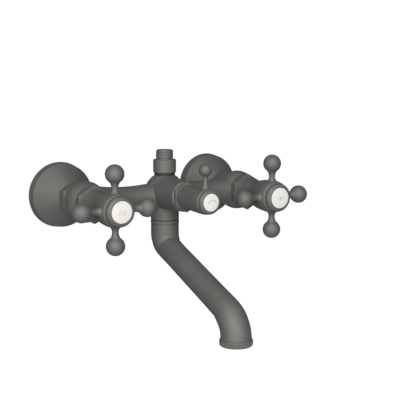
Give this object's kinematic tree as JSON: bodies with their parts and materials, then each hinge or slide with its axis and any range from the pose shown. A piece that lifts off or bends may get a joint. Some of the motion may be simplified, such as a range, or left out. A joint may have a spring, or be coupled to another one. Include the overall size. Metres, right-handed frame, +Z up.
{
  "type": "wall mixer tap",
  "caption": "Exposed wall mixer for bath and shower: cross handles on both sides, a lever diverter in the middle, a swivelling spout below and a shower outlet on top.",
  "frame": {"origin": "on the wall's surface, midway between the two inlets, at their height", "axes": "+X from the hot valve to the cold valve, +Y into the wall, so -Y out towards the user, +Z up"},
  "size_m": [0.2222, 0.1933, 0.1462],
  "materials": {
    "gunmetal": "cast and turned brass with a satin dark gunmetal coating",
    "plain_brass": "machined, uncoated",
    "porcelain": "glazed, gloss",
    "valve_ceramic": "lapped, matt",
    "seal_rubber": "moulded",
    "slip_plastic": "moulded, self-lubricating",
    "outlet_plastic": "moulded",
    "plain_steel": "plain stainless"
  },
  "bodies": {
    "mixer": {"mixer_body": "gunmetal", "hot_wall_connector": "plain_brass", "hot_wall_flange": "gunmetal", "hot_inlet_washer": "seal_rubber", "hot_union_nut": "gunmetal", "hot_union_tail": "plain_brass", "hot_bonnet": "gunmetal", "hot_cartridge_housing": "plain_brass", "hot_seat_seal": "seal_rubber", "hot_fixed_disc": "valve_ceramic", "cold_wall_connector": "plain_brass", "cold_wall_flange": "gunmetal", "cold_inlet_washer": "seal_rubber", "cold_union_nut": "gunmetal", "cold_union_tail": "plain_brass", "cold_bonnet": "gunmetal", "cold_cartridge_housing": "plain_brass", "cold_seat_seal": "seal_rubber", "cold_fixed_disc": "valve_ceramic", "diverter_bonnet": "gunmetal", "diverter_housing": "plain_brass", "diverter_housing_rings": "seal_rubber", "diverter_fixed_disc": "valve_ceramic", "shower_outlet": "gunmetal", "shower_outlet_ring": "seal_rubber", "spout_grub_screw": "plain_steel"},
    "hot_handle": {"hot_moving_disc": "valve_ceramic", "hot_spindle": "plain_brass", "hot_spindle_rings": "seal_rubber", "hot_circlip": "plain_steel", "hot_handle_hub": "gunmetal", "hot_handle_arms": "gunmetal", "hot_handle_screw": "plain_steel", "hot_index_cap": "gunmetal", "hot_index_disc": "porcelain"},
    "cold_handle": {"cold_moving_disc": "valve_ceramic", "cold_spindle": "plain_brass", "cold_spindle_rings": "seal_rubber", "cold_circlip": "plain_steel", "cold_handle_hub": "gunmetal", "cold_handle_arms": "gunmetal", "cold_handle_screw": "plain_steel", "cold_index_cap": "gunmetal", "cold_index_disc": "porcelain"},
    "diverter_handle": {"diverter_moving_disc": "valve_ceramic", "diverter_spindle": "plain_brass", "diverter_spindle_rings": "seal_rubber", "diverter_circlip": "plain_steel", "diverter_hub": "gunmetal", "diverter_lever": "gunmetal", "diverter_screw": "plain_steel", "diverter_index_cap": "gunmetal", "diverter_index_disc": "porcelain"},
    "spout": {"spout_tail": "gunmetal", "spout_slip_ring": "slip_plastic", "spout_rings": "seal_rubber", "spout_tube": "gunmetal", "aerator_housing": "gunmetal", "aerator_insert": "outlet_plastic", "aerator_washer": "seal_rubber"}
  },
  "joints": [
    {"name": "hot_valve_turn", "type": "hinge", "parent": "mixer", "child": "hot_handle", "pos_m": [-0.075, -0.054, 0], "axis": [0, -1, 0], "range_deg": [0, 90]},
    {"name": "cold_valve_turn", "type": "hinge", "parent": "mixer", "child": "cold_handle", "pos_m": [0.075, -0.054, 0], "axis": [0, -1, 0], "range_deg": [-90, 0]},
    {"name": "diverter_turn", "type": "hinge", "parent": "mixer", "child": "diverter_handle", "pos_m": [0, -0.054, 0.003], "axis": [0, -1, 0], "range_deg": [-45, 45]},
    {"name": "spout_swivel", "type": "hinge", "parent": "mixer", "child": "spout", "pos_m": [0, -0.054, 0], "axis": [0, 0, 1], "range_deg": [-90, 90]}
  ]
}
